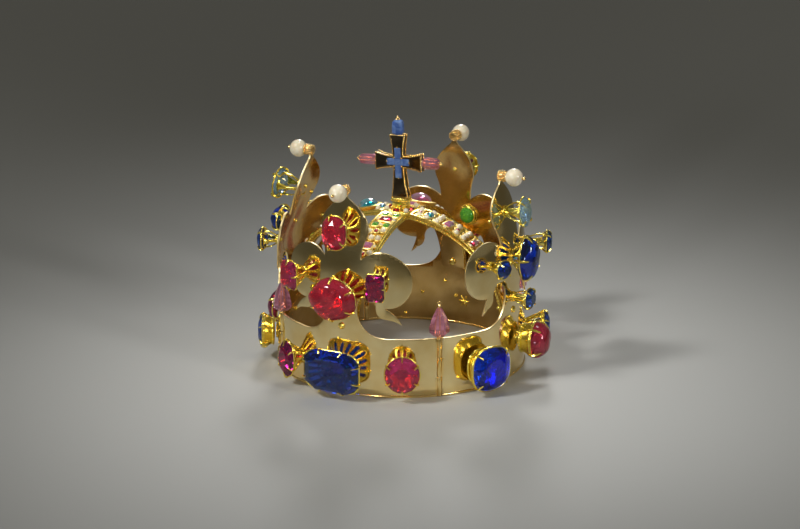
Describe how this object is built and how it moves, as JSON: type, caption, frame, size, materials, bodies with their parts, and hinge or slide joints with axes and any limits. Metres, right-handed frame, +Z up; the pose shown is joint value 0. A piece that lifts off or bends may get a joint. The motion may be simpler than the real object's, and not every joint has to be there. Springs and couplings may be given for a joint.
{
  "type": "royal crown",
  "caption": "Gold royal crown: hinged band plates rising into jewelled lilies with pearls, lift-out hinge pins, two crossing gem-set arches and a small cross.",
  "frame": {"origin": "middle of the band's circle, on the plane that the band's foot rests on", "axes": "+Z up through the cross, -Y towards the front lily, +X towards the lily on its right-hand side as drawn"},
  "size_m": [0.2338, 0.234, 0.191],
  "materials": {
    "plate_gold": "mirror-polished yellow gold sheet with fine handling scratches, bright rounded edges",
    "arch_gold": "yellow gold strap and settings, satin on the beds, polished on the rails",
    "cross_gold": "mirror-polished yellow gold with a twisted wire edging",
    "wire_gold": "polished yellow gold wire",
    "collet_gold": "polished yellow gold settings, bright inside",
    "red_spinel": "polished uncut red spinel, deep and slightly milky",
    "pink_spinel": "faceted pink-red spinel",
    "purple_spinel": "faceted purple-red spinel",
    "royal_sapphire": "faceted royal-blue sapphire",
    "dark_sapphire": "faceted dark-blue sapphire",
    "pale_sapphire": "faceted pale-blue sapphire, glassy",
    "cameo_sapphire": "cut blue sapphire, softly polished",
    "emerald": "square-cut and cabochon emerald",
    "pearl": "cream pearl with a soft lustre"
  },
  "bodies": {
    "crown_frame": {"plate_front": "plate_gold", "pearl_front": "pearl", "stone_front_lily_centre": "red_spinel", "stone_front_lily_petal": "red_spinel", "stone_front_lily_left": "pink_spinel", "stone_front_lily_right": "purple_spinel", "stone_front_band_left": "purple_spinel", "stone_front_band_centre": "royal_sapphire", "stone_front_band_right": "pink_spinel", "arch_front": "arch_gold", "arch_rivet_front": "arch_gold", "plate_right": "plate_gold", "pearl_right": "pearl", "stone_right_lily_centre": "royal_sapphire", "stone_right_lily_petal": "pale_sapphire", "stone_right_lily_left": "royal_sapphire", "stone_right_lily_right": "dark_sapphire", "stone_right_lily_waist": "dark_sapphire", "stone_right_band_left": "royal_sapphire", "stone_right_band_centre": "red_spinel", "stone_right_band_right": "dark_sapphire", "arch_right": "arch_gold", "arch_rivet_right": "arch_gold", "plate_back": "plate_gold", "pearl_back": "pearl", "stone_back_lily_centre": "red_spinel", "stone_back_lily_petal": "purple_spinel", "stone_back_lily_left": "purple_spinel", "stone_back_lily_right": "pink_spinel", "stone_back_band_left": "pink_spinel", "stone_back_band_centre": "royal_sapphire", "stone_back_band_right": "purple_spinel", "arch_back": "arch_gold", "arch_rivet_back": "arch_gold", "plate_left": "plate_gold", "pearl_left": "pearl", "stone_left_lily_centre": "royal_sapphire", "stone_left_lily_petal": "pale_sapphire", "stone_left_lily_left": "dark_sapphire", "stone_left_lily_right": "dark_sapphire", "stone_left_lily_waist": "royal_sapphire", "stone_left_band_left": "royal_sapphire", "stone_left_band_centre": "purple_spinel", "stone_left_band_right": "dark_sapphire", "arch_left": "arch_gold", "arch_rivet_left": "arch_gold", "crossing_plate": "arch_gold", "cross_body": "cross_gold", "cross_inlay": "cameo_sapphire", "cross_top_bead": "royal_sapphire", "cross_left_bead": "pink_spinel", "cross_right_bead": "pink_spinel"},
    "pin_front_right": {"hinge_pin_front_right": "wire_gold", "pin_drop_front_right": "pink_spinel"},
    "pin_right_back": {"hinge_pin_right_back": "wire_gold", "pin_drop_right_back": "pink_spinel"},
    "pin_back_left": {"hinge_pin_back_left": "wire_gold", "pin_drop_back_left": "pink_spinel"},
    "pin_left_front": {"hinge_pin_left_front": "wire_gold", "pin_drop_left_front": "pink_spinel"}
  },
  "joints": [
    {"name": "pin_lift_front_right", "type": "slide", "parent": "crown_frame", "child": "pin_front_right", "axis": [0, 0, 1], "range_m": [0, 0.05]},
    {"name": "pin_lift_right_back", "type": "slide", "parent": "crown_frame", "child": "pin_right_back", "axis": [0, 0, 1], "range_m": [0, 0.05]},
    {"name": "pin_lift_back_left", "type": "slide", "parent": "crown_frame", "child": "pin_back_left", "axis": [0, 0, 1], "range_m": [0, 0.05]},
    {"name": "pin_lift_left_front", "type": "slide", "parent": "crown_frame", "child": "pin_left_front", "axis": [0, 0, 1], "range_m": [0, 0.05]}
  ]
}
